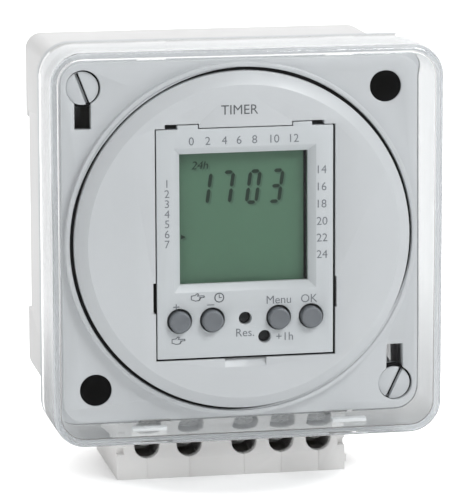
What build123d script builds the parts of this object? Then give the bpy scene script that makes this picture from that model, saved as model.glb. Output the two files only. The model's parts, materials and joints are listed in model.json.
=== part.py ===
from build123d import *
import os

# Digital time switch, 72 x 72 mm, for a DIN rail, a panel cut-out or a wall.
# +Z is up, the front looks along -Y, and the origin is the centre of the square
# front, projected on the rear mounting plane. "Height" below is the distance of a
# layer in front of that rear plane, so a layer at height h lies at y = -h.

# ---- clear cover
cover_side = 72.0
cover_corner = 6.0
cover_wall = 1.3
cover_depth = 14.5
cover_edge_round = 1.2
tongue_width = 5.5
tongue_thickness = 0.9
tongue_inset = 1.1
tongue_length = 2.9
tongue_places = [-15.5, 19.5]

# ---- front frame: flange, raised plate, collar round the disc
flange_thickness = 2.5
flange_back = 38.0
plate_inset = 2.8
plate_corner = 4.0
plate_rise = 5.5
plate_thickness = 2.0
plate_wall = 1.6
collar_rise = 1.6
collar_wall = 0.85
hook_width = 8.0
hook_thickness = 1.2
hook_length = 4.0
hook_barb = 0.5

# ---- rear housing
body_inset = 3.0
body_corner = 3.0
body_wall = 1.8
body_edge_round = 0.8
back_wall = 2.0
rail_channel_top = 17.2
rail_channel_bottom = -20.4
rail_channel_depth = 4.7
rail_lip_depth = 1.2
rail_flange = 1.2

# ---- wall screw tunnels
wall_hole_inset = 5.8
wall_hole_r = 2.15
tunnel_r = 2.95
tunnel_wall = 1.15
tunnel_seat = 3.0

# ---- panel clamps: turned from the front, their arms swing out of the side windows
clamp_inset_x = 4.0
clamp_inset_z = 4.4
clamp_head_r = 3.0
clamp_head_length = 3.2
clamp_head_recess = 0.5
clamp_flange_r = 3.4
clamp_flange_length = 1.0
clamp_shaft_r = 1.6
clamp_hub_r = 2.5
clamp_foot_depth = 17.0
clamp_arm_reach = 7.4
clamp_arm_width = 2.8
clamp_arm_depth = 7.0
clamp_arm_thickness = 2.5
clamp_slot_width = 3.0
clamp_slot_end = 7.5
clamp_slot_tilts = [20.7, -26.0]
driver_slot_width = 0.75
driver_slot_depth = 1.2

# ---- round disc
disc_rise = 4.2
disc_bevel = 2.3
disc_bevel_depth = 1.9
disc_gap = 0.7
disc_margin = 2.05
disc_shell = 2.0
disc_seat = 0.8
disc_ledge = 1.6
grip_width = 7.7
grip_length = 2.0
grip_depth = 1.1

# ---- timer module
module_width = 32.6
module_height = 42.1
module_skirt = 1.2
module_plate = 2.0
module_depth = 10.2
tab_height = 0.75
tab_left = [-12.4, -8.65]
tab_right = [8.9, 12.4]
pry_width = 2.3
side_pry_z = -9.8
side_pry_length = 5.7
side_pry_depth = 0.7
window_width = 23.8
window_height = 24.0
window_z = 4.4
window_bevel = 1.25
window_bevel_depth = 1.2
pane_lap = 0.6
pane_thickness = 0.8
cell_thickness = 2.0
cell_lap = 1.2
strip_width = 1.6
board_thickness = 1.6
board_depth = 6.9
case_wall = 1.0
case_depth = 7.7

# ---- push buttons
button_r = 2.1
button_z = -14.1
button_side_gap = 0.3
button_gap = 0.85
button_proud = 1.2
button_lip = 0.5
button_flange = 0.8
button_stem_r = 1.1
button_travel = 0.5
pin_r = 1.0
pin_recess = 1.2
pin_lip = 0.5
pin_drop = 0.9
reset_place = (-0.05, -14.05)
dome_r = 1.9
dome_height = 0.3

# ---- terminal block
block_width = 43.3
block_height = 13.7
block_step = 1.0
block_depth = 25.0
block_rise = 1.7
block_skin = 1.6
block_floor = 2.7
block_notch = 1.35
block_notch_rise = 5.45
block_plug_depth = 1.5
terminal_x = [-16.0, -8.0, 2.4, 9.5, 16.6]
terminal_drop = 6.4
chamber_depth = 23.0
access_width = 4.8
access_height = 6.8
wire_width = 4.4
wire_depth = 18.1
wire_height = 5.1

# ---- terminal screws, cages and contact bars
screw_head_r = 2.05
screw_head_depth = 3.6
screw_head_length = 2.0
screw_r = 1.25
screw_tip_depth = 11.8
cage_width = 5.3
cage_height = 6.0
cage_wall = 0.7
cage_depth = 19.1
cage_length = 9.3
cage_back_wall = 1.0
cage_front_wall = 1.2
contact_width = 3.6
contact_thickness = 1.0
contact_reach = 2.8

# ---- rail latch and its spring
latch_rail_width = 15.4
latch_rib_width = 12.4
latch_low = 0.4
latch_step = 1.8
latch_high = 3.4
latch_tip = -15.6
latch_grip = 8.0
latch_travel = 3.0
latch_window_width = 3.4
latch_window_top = -22.5
latch_window_bottom = -31.5
peg_top = -29.1
peg_length = 1.8
spring_wire_r = 0.21
spring_mean_r = 1.1
spring_turns = 6
spring_height = 2.0

# ---- electronics
power_board_width = 46.0
power_board_height = 50.0
power_board_gap = 4.0
post_r = 2.0
post_place = (20.0, 22.0)
relay_size = (28.0, 12.5, 15.5)
relay_place = (-5.0, -14.0)
film_capacitor_size = (18.0, 9.0, 14.0)
film_capacitor_place = (-9.0, 13.0)
smoothing_capacitor_r = 5.0
smoothing_capacitor_length = 14.0
smoothing_capacitor_place = (11.0, 13.5)
varistor_r = 4.5
varistor_thickness = 3.6
varistor_place = (16.0, -14.0)
cell_r = 8.0
cell_length = 3.0
cell_place = (5.5, 6.5)
clip_thickness = 0.4
clip_width = 5.0
chip_side = 9.0
chip_thickness = 1.2
chip_place = (-8.5, -10.0)
quartz_size = (6.4, 2.6, 2.0)
quartz_place = (4.0, -13.0)
header_pins = 8
header_pitch = 2.0
header_place = (0.0, -17.5)
header_width = 3.0
header_pin_side = 0.5

# ---- fits
slip = 0.1
sliding = 0.2
loose = 0.3

# ---- sizes that follow, across the front
plate_side = cover_side - 2 * plate_inset
plate_inner = plate_side - 2 * plate_wall
body_side = cover_side - 2 * body_inset
body_inner = body_side - 2 * body_wall
disc_r = plate_side / 2 - disc_margin
collar_inner_r = disc_r + disc_gap
collar_outer_r = collar_inner_r + collar_wall
wall_hole_offset = body_side / 2 - wall_hole_inset
tunnel_places = [(wall_hole_offset, wall_hole_offset), (-wall_hole_offset, -wall_hole_offset)]
clamp_x = body_side / 2 - clamp_inset_x
clamp_z = body_side / 2 - clamp_inset_z
clamp_places = [(-clamp_x, clamp_z, -1), (clamp_x, -clamp_z, 1)]
button_flange_r = button_r + button_lip
pin_flange_r = pin_r + pin_lip
outer_button_x = module_width / 2 - module_skirt - button_flange_r - button_side_gap
inner_button_x = outer_button_x - 2 * button_flange_r - button_gap
button_places = {"plus": -outer_button_x, "minus": -inner_button_x,
                 "menu": inner_button_x, "ok": outer_button_x}
hour_lowest = dome_r + slip + module_skirt - module_height / 2
hour_place = (inner_button_x - button_flange_r,
              max(button_z - button_flange_r - pin_drop, hour_lowest))
pin_places = {"reset": reset_place, "hour": hour_place}
block_top = -body_side / 2
block_bottom = block_top - block_height
terminal_z = block_top - terminal_drop
chamber_top = block_top - block_skin
chamber_width = cage_width + 2 * sliding
contact_end = terminal_z - contact_reach
latch_end = -body_side / 2 - latch_grip
peg_bottom = peg_top - peg_length

# ---- heights that follow, from the rear plane to the front
cover_rim = flange_back + flange_thickness
cover_front = cover_rim + cover_depth
plate_height = cover_rim + plate_rise
collar_height = plate_height + collar_rise
disc_height = plate_height + disc_rise
disc_edge_height = disc_height - disc_bevel_depth
disc_foot = plate_height - disc_seat
module_back = disc_height - module_depth
module_plate_back = disc_height - module_plate
pane_back = module_plate_back - pane_thickness
cell_front = pane_back - slip
cell_back = cell_front - cell_thickness
board_top = disc_height - board_depth
board_back = board_top - board_thickness
case_floor = board_back - case_depth
power_board_top = case_floor - power_board_gap
power_board_back = power_board_top - board_thickness
button_stem_end = board_top + dome_height + button_travel + slip
clamp_arm_back = flange_back - clamp_arm_depth
clamp_arm_front = clamp_arm_back + clamp_arm_thickness
clamp_foot = flange_back - clamp_foot_depth
block_front = flange_back - block_step
block_back = block_front - block_depth
chamber_back = block_front - chamber_depth
wire_low = block_front - wire_depth
wire_high = wire_low + wire_height
contact_low = wire_high
contact_high = contact_low + contact_thickness
screw_head_front = block_front - screw_head_depth
screw_tip = block_front - screw_tip_depth
cage_back = block_front - cage_depth
cage_front = cage_back + cage_length
latch_guide_high = latch_high + sliding


# A prism of a sketch drawn in X and Z, between two heights above the rear plane.
def layer(sketch, low, high):
    return Pos(0, -low, 0) * extrude(Plane.XZ * sketch, amount=high - low)


def rectangle(x, z, width, height, corner=0.0):
    if corner > 0:
        return Pos(x, z) * RectangleRounded(width, height, corner)
    return Pos(x, z) * Rectangle(width, height)


def span(x_low, x_high, z_low, z_high):
    return rectangle((x_low + x_high) / 2, (z_low + z_high) / 2, x_high - x_low, z_high - z_low)


def circle(x, z, radius):
    return Pos(x, z) * Circle(radius)


def rod(x, z, radius, low, high):
    return layer(circle(x, z, radius), low, high)


def block(x, z, width, height, low, high):
    return layer(rectangle(x, z, width, height), low, high)


# ---- covers and casings

def clear_cover():
    outside = layer(rectangle(0, 0, cover_side, cover_side, cover_corner), cover_rim, cover_front)
    front_edges = outside.faces().sort_by(Axis.Y)[0].edges()
    outside = fillet(front_edges, cover_edge_round)
    inner_side = cover_side - 2 * cover_wall
    inner_corner = cover_corner - cover_wall
    hollow = layer(rectangle(0, 0, inner_side, inner_side, inner_corner),
                   cover_rim, cover_front - cover_wall)
    shell = outside - hollow
    return shell + cover_tongues(cover_rim - tongue_length, cover_rim + slip, 0)


# Tongues behind the rim of the cover, at the top and the bottom edge.
def cover_tongues(low, high, margin):
    tongues = Part()
    middle = cover_side / 2 - tongue_inset
    for x in tongue_places:
        for z in (-middle, middle):
            tongues += block(x, z, tongue_width + 2 * margin,
                             tongue_thickness + 2 * margin, low, high)
    return tongues


def front_frame():
    flange = rectangle(0, 0, cover_side, cover_side, cover_corner)
    plate = rectangle(0, 0, plate_side, plate_side, plate_corner)
    inside = rectangle(0, 0, plate_inner, plate_inner, plate_corner - plate_wall)
    frame = layer(flange, flange_back, cover_rim) + layer(plate, cover_rim, plate_height)
    frame -= layer(inside, flange_back, plate_height - plate_thickness)
    frame += rod(0, 0, collar_outer_r, plate_height - plate_thickness, collar_height)
    frame += snap_hooks()
    frame -= rod(0, 0, collar_inner_r, disc_foot, collar_height)
    frame -= rod(0, 0, disc_r - disc_ledge, flange_back, disc_foot)
    frame -= block(0, 0, module_width + 2 * sliding, module_height + 2 * sliding,
                   flange_back, disc_foot)
    frame -= cover_tongues(flange_back, cover_rim, sliding)
    for x, z in tunnel_places:
        frame -= rod(x, z, tunnel_r, flange_back, plate_height)
    for x, z, side in clamp_places:
        frame -= rod(x, z, clamp_head_r + slip, flange_back, plate_height)
        frame -= rod(x, z, clamp_flange_r + sliding, flange_back, plate_height - plate_thickness)
        frame -= layer(clamp_slot(x, z, side), flange_back, plate_height)
    return frame


# The rectangular slot beside a clamp head, on the side of the head nearer the middle.
def clamp_slot(x, z, side):
    return rectangle(x, z + side * clamp_slot_end / 2, clamp_slot_width, clamp_slot_end)


# Four snap hooks behind the frame: two at the sides and two at the top.
def snap_hooks():
    hooks = Part()
    for x, z, turn in hook_places():
        hooks += Pos(x, 0, z) * Rot(0, turn, 0) * snap_hook()
    return hooks


def hook_places():
    reach = body_inner / 2 - slip
    return [(reach, 0, 0), (-reach, 0, 180), (-12, reach, -90), (12, reach, -90)]


def snap_hook():
    tongue = block(-hook_thickness / 2, 0, hook_thickness, hook_width,
                   flange_back - hook_length, flange_back + plate_wall)
    root_width = hook_thickness + 1.0
    root = block(root_width / 2 - hook_thickness, 0, root_width, hook_width,
                 flange_back, flange_back + plate_wall)
    barb = block(hook_barb / 2, 0, hook_barb, hook_width,
                 flange_back - hook_length, flange_back - hook_length + 1.2)
    return tongue + root + barb


def rear_housing():
    square = rectangle(0, 0, body_side, body_side, body_corner)
    housing = layer(square, 0, flange_back)
    back_edges = housing.faces().sort_by(Axis.Y)[-1].edges()
    housing = fillet(back_edges, body_edge_round)
    housing -= housing_hollow()
    for x, z in tunnel_places:
        housing += rod(x, z, tunnel_r + tunnel_wall, back_wall, plate_height - plate_thickness - slip)
    housing += clamp_bearings() + board_posts()
    housing -= rail_channel()
    housing -= latch_guide(0)
    housing += layer(span(-latch_window_width / 2 + sliding, latch_window_width / 2 - sliding,
                          peg_bottom, peg_top), latch_low + sliding, latch_guide_high + slip)
    for x, z in tunnel_places:
        housing -= rod(x, z, wall_hole_r, 0, tunnel_seat)
        housing -= rod(x, z, tunnel_r, tunnel_seat, plate_height)
    for x, z, side in clamp_places:
        housing -= clamp_window(x, z, side)
    housing -= block_opening(slip)
    housing -= hook_pockets()
    return housing


def housing_hollow():
    inner_corner = body_corner - body_wall
    inner = rectangle(0, 0, body_inner, body_inner, inner_corner)
    floor = rail_channel_depth + back_wall
    hollow = layer(inner, floor, flange_back)
    upper_ear = span(-body_inner / 2, body_inner / 2,
                     rail_channel_top + rail_lip_depth + body_wall, body_inner / 2)
    hollow += layer(upper_ear, back_wall, floor)
    guide_half = latch_rail_width / 2 + sliding + body_wall
    for low, high in ((-body_inner / 2, -guide_half), (guide_half, body_inner / 2)):
        lower_ear = span(low, high, -body_inner / 2, rail_channel_bottom - body_wall)
        hollow += layer(lower_ear, back_wall, floor)
    return hollow


# The channel takes the rail, and the undercut at its top hooks the rail's upper edge.
def rail_channel():
    half = body_side
    channel = layer(span(-half, half, rail_channel_bottom, rail_channel_top),
                    0, rail_channel_depth)
    undercut = layer(span(-half, half, rail_channel_top - rail_lip_depth,
                          rail_channel_top + rail_lip_depth),
                     rail_channel_depth - rail_flange, rail_channel_depth)
    return channel + undercut


# The T-shaped guide for the latch, and with the sliding clearance taken off, the latch itself.
def latch_guide(inset):
    clear = sliding - inset
    top = rail_channel_bottom + slip
    bottom = -body_side / 2
    wide = span(-latch_rail_width / 2 - clear, latch_rail_width / 2 + clear, bottom, top)
    narrow = span(-latch_rib_width / 2 - clear, latch_rib_width / 2 + clear, bottom, top)
    guide = layer(wide, latch_step - clear, latch_high + clear)
    return guide + layer(narrow, 0, latch_step)


def clamp_bearings():
    bearings = Part()
    for x, z, side in clamp_places:
        boss = rod(x, z, clamp_shaft_r + body_wall / 2, back_wall, clamp_foot + 3.0)
        bearings += boss - rod(x, z, clamp_shaft_r + slip / 2, clamp_foot - slip, clamp_foot + 3.0)
    return bearings


# The side window through which a clamp arm swings out, on its own side of the housing.
def clamp_window(x, z, side):
    reach = clamp_arm_reach + loose
    z_low = z - reach if side < 0 else z - clamp_arm_width / 2 - loose
    z_high = z + clamp_arm_width / 2 + loose if side < 0 else z + reach
    inner = body_inner / 2 - slip
    x_low, x_high = (-body_side, -inner) if side < 0 else (inner, body_side)
    return layer(span(x_low, x_high, z_low, z_high),
                 clamp_arm_back - loose, clamp_arm_front + loose)


def board_posts():
    posts = Part()
    for x in (-post_place[0], post_place[0]):
        for z in (-post_place[1], post_place[1]):
            posts += rod(x, z, post_r, back_wall, power_board_back)
    return posts


# The opening in the housing's lower wall that the terminal block plugs into.
def block_opening(margin):
    half = block_width / 2 - block_skin
    low = wire_low - margin
    high = contact_high + 4.0 + margin
    return layer(span(-half - margin, half + margin, block_top, block_top + body_wall), low, high)


def hook_pockets():
    pockets = Part()
    for x, z, turn in hook_places():
        pocket = block(hook_barb / 2 + slip, 0, hook_barb + 2 * slip, hook_width + 2 * sliding,
                       flange_back - hook_length - sliding, flange_back - hook_length + 1.2 + sliding)
        pockets += Pos(x, 0, z) * Rot(0, turn, 0) * pocket
    return pockets


# ---- disc and timer module

def dial_disc():
    rim = rod(0, 0, disc_r, disc_foot, disc_edge_height)
    flat_r = disc_r - disc_bevel
    rise = disc_height - disc_edge_height
    crown = Pos(0, -(disc_edge_height + rise / 2), 0) * Rot(90, 0, 0) * Cone(disc_r, flat_r, rise)
    disc = rim + crown
    disc -= rod(0, 0, flat_r, disc_foot, disc_height - disc_shell)
    disc -= block(0, 0, module_width + 2 * sliding, module_height + 2 * sliding,
                  disc_foot, disc_height)
    disc -= pry_slots() + module_tabs(sliding) + finger_grip()
    return disc


# The tabs at the top of the module, which the disc's opening follows with a margin.
def module_tabs(margin):
    tabs = Part()
    base = module_height / 2 - 1.0
    for low, high in (tab_left, tab_right):
        tabs += layer(span(low - margin, high + margin, base,
                           module_height / 2 + tab_height + margin),
                      module_plate_back, disc_height)
    return tabs


# Dark slots beside the module, where a screwdriver pries it out.
def pry_slots():
    slots = Part()
    top = module_height / 2
    side = module_width / 2
    for low in (tab_left[0] - pry_width, tab_right[1]):
        slots += layer(span(low, low + pry_width, top - 1.0, top + tab_height + sliding),
                       disc_foot, disc_height)
    for low in (-side - side_pry_depth, side - 1.0):
        slots += layer(span(low, low + side_pry_depth + 1.0, side_pry_z - side_pry_length / 2,
                            side_pry_z + side_pry_length / 2), disc_foot, disc_height)
    return slots


# A sloping recess below the module for a fingernail.
def finger_grip():
    z_top = -module_height / 2
    profile = Polygon((-disc_height - 1, z_top + 0.5), (-disc_height - 1, z_top - grip_length),
                      (-disc_height, z_top - grip_length), (-disc_height + grip_depth, z_top),
                      (-disc_height + grip_depth, z_top + 0.5), align=None)
    return Pos(-grip_width / 2, 0, 0) * extrude(Plane.YZ * profile, amount=grip_width)


def module_bezel():
    outside = rectangle(0, 0, module_width, module_height)
    bezel = layer(outside, module_back, disc_height) + module_tabs(0)
    bezel -= block(0, 0, module_width - 2 * module_skirt, module_height - 2 * module_skirt,
                   module_back, module_plate_back)
    bezel -= block(0, window_z, window_width, window_height, module_plate_back, disc_height)
    bezel -= window_funnel()
    for x in button_places.values():
        bezel -= rod(x, button_z, button_r + sliding, module_plate_back, disc_height)
    for x, z in pin_places.values():
        bezel -= rod(x, z, pin_r + sliding, module_plate_back, disc_height)
    return bezel


# The four bevels round the window.
def window_funnel():
    wide = rectangle(0, window_z, window_width + 2 * window_bevel, window_height + 2 * window_bevel)
    narrow = rectangle(0, window_z, window_width, window_height)
    front = Plane.XZ.offset(disc_height) * wide
    deep = Plane.XZ.offset(disc_height - window_bevel_depth) * narrow
    return loft([front, deep])


def lcd_window():
    return block(0, window_z, window_width + 2 * pane_lap, window_height + 2 * pane_lap,
                 pane_back, module_plate_back)


def lcd_glass():
    return block(0, window_z, window_width + 2 * cell_lap, window_height + 2 * cell_lap,
                 cell_back, cell_front)


# The frame that holds the display cell over the board, open in the middle.
def lcd_holder():
    outer_width = module_width - 2 * module_skirt - 2 * slip
    outer_height = window_height + 2 * cell_lap + 3.0
    frame = block(0, window_z, outer_width, outer_height, board_top, cell_front)
    frame -= block(0, window_z, window_width + 2 * cell_lap + 2 * slip,
                   window_height + 2 * cell_lap + 2 * slip, board_top, cell_front)
    return frame


# Conducting rubber strips between the display cell and the board.
def zebra_strips():
    offset = window_height / 2 + cell_lap - strip_width / 2 - slip
    strips = Part()
    for z in (window_z - offset, window_z + offset):
        strips += block(0, z, window_width, strip_width, board_top, cell_back)
    return strips


def display_board():
    return block(0, 0, module_width - 2 * module_skirt - 2 * slip,
                 module_height - 2 * module_skirt - 2 * slip, board_back, board_top)


def contact_domes():
    domes = Part()
    for x, z in button_centres():
        domes += rod(x, z, dome_r, board_top, board_top + dome_height)
    return domes


def button_centres():
    return [(x, button_z) for x in button_places.values()] + list(pin_places.values())


def module_case():
    width = module_width - 2 * module_skirt - 2 * slip
    height = module_height - 2 * module_skirt - 2 * slip
    case = block(0, 0, width, height, case_floor, board_back)
    case -= block(0, 0, width - 2 * case_wall, height - 2 * case_wall,
                  case_floor + case_wall, board_back)
    header_width_x = header_pins * header_pitch + 2 * sliding
    case -= block(header_place[0], header_place[1], header_width_x,
                  header_width + 2 * sliding, case_floor, case_floor + case_wall)
    return case


# ---- buttons

def button_cap(x):
    top = disc_height + button_proud
    cap = rod(x, button_z, button_r, module_plate_back - sliding, top)
    cap = fillet(cap.faces().sort_by(Axis.Y)[0].edges(), 0.3)
    return cap + button_foot(x, button_z, button_flange_r)


def recessed_pin(x, z):
    pin = rod(x, z, pin_r, module_plate_back - sliding, disc_height - pin_recess)
    return pin + button_foot(x, z, pin_flange_r)


# The flange behind the bezel and the stem that presses the dome.
def button_foot(x, z, flange_r):
    flange_top = module_plate_back - sliding
    flange = rod(x, z, flange_r, flange_top - button_flange, flange_top)
    return flange + rod(x, z, button_stem_r, button_stem_end, flange_top)


# ---- terminal block

def terminal_housing():
    half = block_width / 2
    housing = layer(span(-half, half, block_bottom, block_top), block_back, block_front)
    housing += layer(span(half, half + 0.5, block_bottom + 1.4, block_bottom + 2.7),
                     block_back + 1.0, block_front - 0.6)
    housing += block_plug()
    housing -= underside_slope()
    for side in (-1, 1):
        edge = side * (half - block_notch / 2)
        housing -= block(edge, block_bottom + block_notch_rise, block_notch, block_notch,
                         block_front - 1.5, block_front)
    for x in terminal_x:
        housing -= terminal_cuts(x)
    return housing


# The plug on top of the block, which fills the opening in the housing's lower wall.
def block_plug():
    half = block_width / 2 - block_skin
    low = wire_low
    high = contact_high + 4.0
    return layer(span(-half, half, block_top, block_top + block_plug_depth), low, high)


def underside_slope():
    profile = Polygon((-block_front, block_bottom), (-block_back, block_bottom + block_rise),
                      (-block_back + 1, block_bottom + block_rise), (-block_back + 1, block_bottom - 1),
                      (-block_front, block_bottom - 1), align=None)
    return Pos(-block_width, 0, 0) * extrude(Plane.YZ * profile, amount=2 * block_width)


def terminal_cuts(x):
    chamber = layer(span(x - chamber_width / 2, x + chamber_width / 2,
                         block_bottom + block_floor, chamber_top),
                    chamber_back, block_front - block_skin)
    access = layer(Pos(x, terminal_z) * Rot(0, 0, 90) * SlotOverall(access_height, access_width),
                   block_front - block_skin, block_front)
    wire = layer(span(x - wire_width / 2, x + wire_width / 2, block_bottom - 1,
                      block_bottom + block_floor), wire_low, wire_high)
    bar = layer(span(x - contact_width / 2 - slip, x + contact_width / 2 + slip,
                     chamber_top, block_top + block_plug_depth), contact_low - slip, contact_high + slip)
    seam = layer(span(x - 0.1, x + 0.1, block_bottom, terminal_z - access_height / 2),
                 block_front - 0.15, block_front)
    return chamber + access + wire + bar + seam


def terminal_screw(x):
    head_back = screw_head_front - screw_head_length
    screw = rod(x, terminal_z, screw_head_r, head_back, screw_head_front)
    screw = chamfer(screw.faces().sort_by(Axis.Y)[0].edges(), 0.2)
    screw += rod(x, terminal_z, screw_r, screw_tip, head_back)
    for width, height in ((4 * screw_head_r, 0.7), (0.7, 2.4)):
        screw -= block(x, terminal_z, width, height, screw_head_front - 1.0, screw_head_front)
    return screw


def terminal_cage(x):
    cage = block(x, terminal_z, cage_width, cage_height, cage_back, cage_front)
    cage -= block(x, terminal_z, cage_width - 2 * cage_wall, cage_height,
                  cage_back + cage_back_wall, cage_front - cage_front_wall)
    return cage - rod(x, terminal_z, screw_r + slip / 2, cage_front - cage_front_wall, cage_front)


# Contact bars run from the cages up to the power board and turn forward to meet it.
def terminal_contacts():
    bars = Part()
    board_edge = -power_board_height / 2
    top = board_edge + 1.6
    for x in terminal_x:
        bars += layer(span(x - contact_width / 2, x + contact_width / 2, contact_end, top),
                      contact_low, contact_high)
        bars += layer(span(x - contact_width / 2, x + contact_width / 2, top - 1.0, top),
                      contact_high, power_board_back)
    return bars


# ---- clamps and rail latch

def clamp_latch(x, z, side, tilt):
    head_front = plate_height - clamp_head_recess
    head_back = head_front - clamp_head_length
    clamp = rod(x, z, clamp_head_r, head_back, head_front)
    flange_top = plate_height - plate_thickness - sliding
    clamp += rod(x, z, clamp_flange_r, flange_top - clamp_flange_length, flange_top)
    clamp += rod(x, z, clamp_shaft_r, clamp_foot, head_back)
    arm_end = clamp_arm_reach - clamp_arm_width / 2
    arm = rectangle(0, side * arm_end / 2, clamp_arm_width, arm_end)
    arm += circle(0, side * arm_end, clamp_arm_width / 2) + Circle(clamp_hub_r)
    clamp += layer(Pos(x, z) * arm, clamp_arm_back, clamp_arm_front)
    slot = Pos(x, z) * Rot(0, 0, tilt) * Rectangle(driver_slot_width, 4 * clamp_head_r)
    return clamp - layer(slot, head_front - driver_slot_depth, head_front)


def din_latch():
    wide = span(-latch_rail_width / 2, latch_rail_width / 2, -body_side / 2 + latch_travel,
                rail_channel_bottom - slip)
    narrow = span(-latch_rib_width / 2, latch_rib_width / 2, latch_end, latch_tip)
    latch = layer(wide, latch_step, latch_high) + layer(narrow, latch_low, latch_high)
    latch -= layer(span(-latch_window_width / 2, latch_window_width / 2,
                        latch_window_bottom, latch_window_top), 0, latch_high)
    latch -= layer(span(-2.5, 2.5, latch_end + 2.0, latch_end + 4.0), 0, latch_high)
    nose = Polygon((-latch_low + 0.1, latch_tip - 1.6), (-latch_low - 1.5, latch_tip + 0.1),
                   (-latch_low + 0.1, latch_tip + 0.1), align=None)
    latch -= Pos(-latch_rib_width, 0, 0) * extrude(Plane.YZ * nose, amount=2 * latch_rib_width)
    return latch


# Compression spring between the housing's peg and the top of the latch's window.
def latch_spring():
    ends = spring_wire_r + 0.02
    low = peg_top + ends
    length = latch_window_top - ends - low
    path = Helix(length / spring_turns, length, spring_mean_r)
    start = Plane(path @ 0, z_dir=path % 0)
    coil = sweep(start * Circle(spring_wire_r), path)
    return Pos(0, -spring_height, low) * coil


# ---- electronics

def power_board():
    board = block(0, 0, power_board_width, power_board_height, power_board_back, power_board_top)
    for x, z in tunnel_places:
        board -= rod(x, z, tunnel_r + tunnel_wall + sliding, power_board_back, power_board_top)
    return board


def rear_part(size, place):
    width, height, depth = size
    return block(place[0], place[1], width, height, power_board_back - depth, power_board_back)


def smoothing_capacitor():
    x, z = smoothing_capacitor_place
    can = rod(x, z, smoothing_capacitor_r, power_board_back - smoothing_capacitor_length,
              power_board_back)
    return fillet(can.faces().sort_by(Axis.Y)[-1].edges(), 0.5)


def varistor():
    x, z = varistor_place
    height = power_board_back - varistor_r - 1.5
    body = Pos(x, -height, z) * Rot(0, 90, 0) * Cylinder(varistor_r, varistor_thickness)
    for dz in (-1.5, 1.5):
        body += rod(x, z + dz, 0.3, power_board_back - 3.0, power_board_back)
    return body


def backup_cell():
    x, z = cell_place
    top = board_back - clip_thickness
    return rod(x, z, cell_r, top - cell_length, top)


# A spring clip over the cell, with its two feet on the board.
def battery_clip():
    x, z = cell_place
    top = board_back - clip_thickness
    base = block(x, z, clip_width, 2 * cell_r - 1.0, top, board_back)
    bridge = block(x, z, clip_width, 2 * cell_r + 2.4, top - cell_length - clip_thickness,
                   top - cell_length)
    clip = base + bridge
    for side in (-1, 1):
        clip += block(x, z + side * (cell_r + 1.0), clip_width, 0.4,
                      top - cell_length - clip_thickness, board_back)
    return clip


def microcontroller():
    x, z = chip_place
    return block(x, z, chip_side, chip_side, board_back - chip_thickness, board_back)


def quartz_crystal():
    x, z = quartz_place
    width, height, depth = quartz_size
    return layer(rectangle(x, z, width, height, height / 2 - 0.05), board_back - depth, board_back)


# Pin header that joins the display board to the power board.
def board_header():
    x, z = header_place
    header = block(x, z, header_pins * header_pitch, header_width, power_board_top,
                   case_floor + case_wall)
    first = x - (header_pins - 1) * header_pitch / 2
    for index in range(header_pins):
        header += block(first + index * header_pitch, z, header_pin_side, header_pin_side,
                        case_floor, board_back)
    return header


# ---- all the pieces

def build_pieces():
    pieces = {
        "clear_cover": clear_cover(),
        "front_frame": front_frame(),
        "rear_housing": rear_housing(),
        "terminal_housing": terminal_housing(),
        "dial_disc": dial_disc(),
        "module_bezel": module_bezel(),
        "module_case": module_case(),
        "lcd_window": lcd_window(),
        "lcd_glass": lcd_glass(),
        "lcd_holder": lcd_holder(),
        "zebra_strips": zebra_strips(),
        "display_board": display_board(),
        "contact_domes": contact_domes(),
        "microcontroller": microcontroller(),
        "quartz_crystal": quartz_crystal(),
        "backup_cell": backup_cell(),
        "battery_clip": battery_clip(),
        "board_header": board_header(),
        "power_board": power_board(),
        "relay": rear_part(relay_size, relay_place),
        "film_capacitor": rear_part(film_capacitor_size, film_capacitor_place),
        "smoothing_capacitor": smoothing_capacitor(),
        "varistor": varistor(),
        "terminal_contacts": terminal_contacts(),
        "din_latch": din_latch(),
        "latch_spring": latch_spring(),
    }
    for name, place in button_places.items():
        pieces["button_" + name] = button_cap(place)
    for name, (x, z) in pin_places.items():
        pieces["button_" + name] = recessed_pin(x, z)
    for name, place, tilt in zip(("upper", "lower"), clamp_places, clamp_slot_tilts):
        pieces["panel_clamp_" + name] = clamp_latch(*place, tilt)
    for number, x in enumerate(terminal_x, start=1):
        pieces[f"terminal_screw_{number}"] = terminal_screw(x)
        pieces[f"terminal_cage_{number}"] = terminal_cage(x)
    return pieces


os.makedirs("parts", exist_ok=True)
for node, shape in build_pieces().items():
    export_step(shape, f"parts/{node}.step")
    print(node, len(shape.solids()), "solids", round(shape.volume, 1), "mm3")
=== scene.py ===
import json
import math
import bmesh
import bpy
from mathutils import Matrix, Vector


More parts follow.
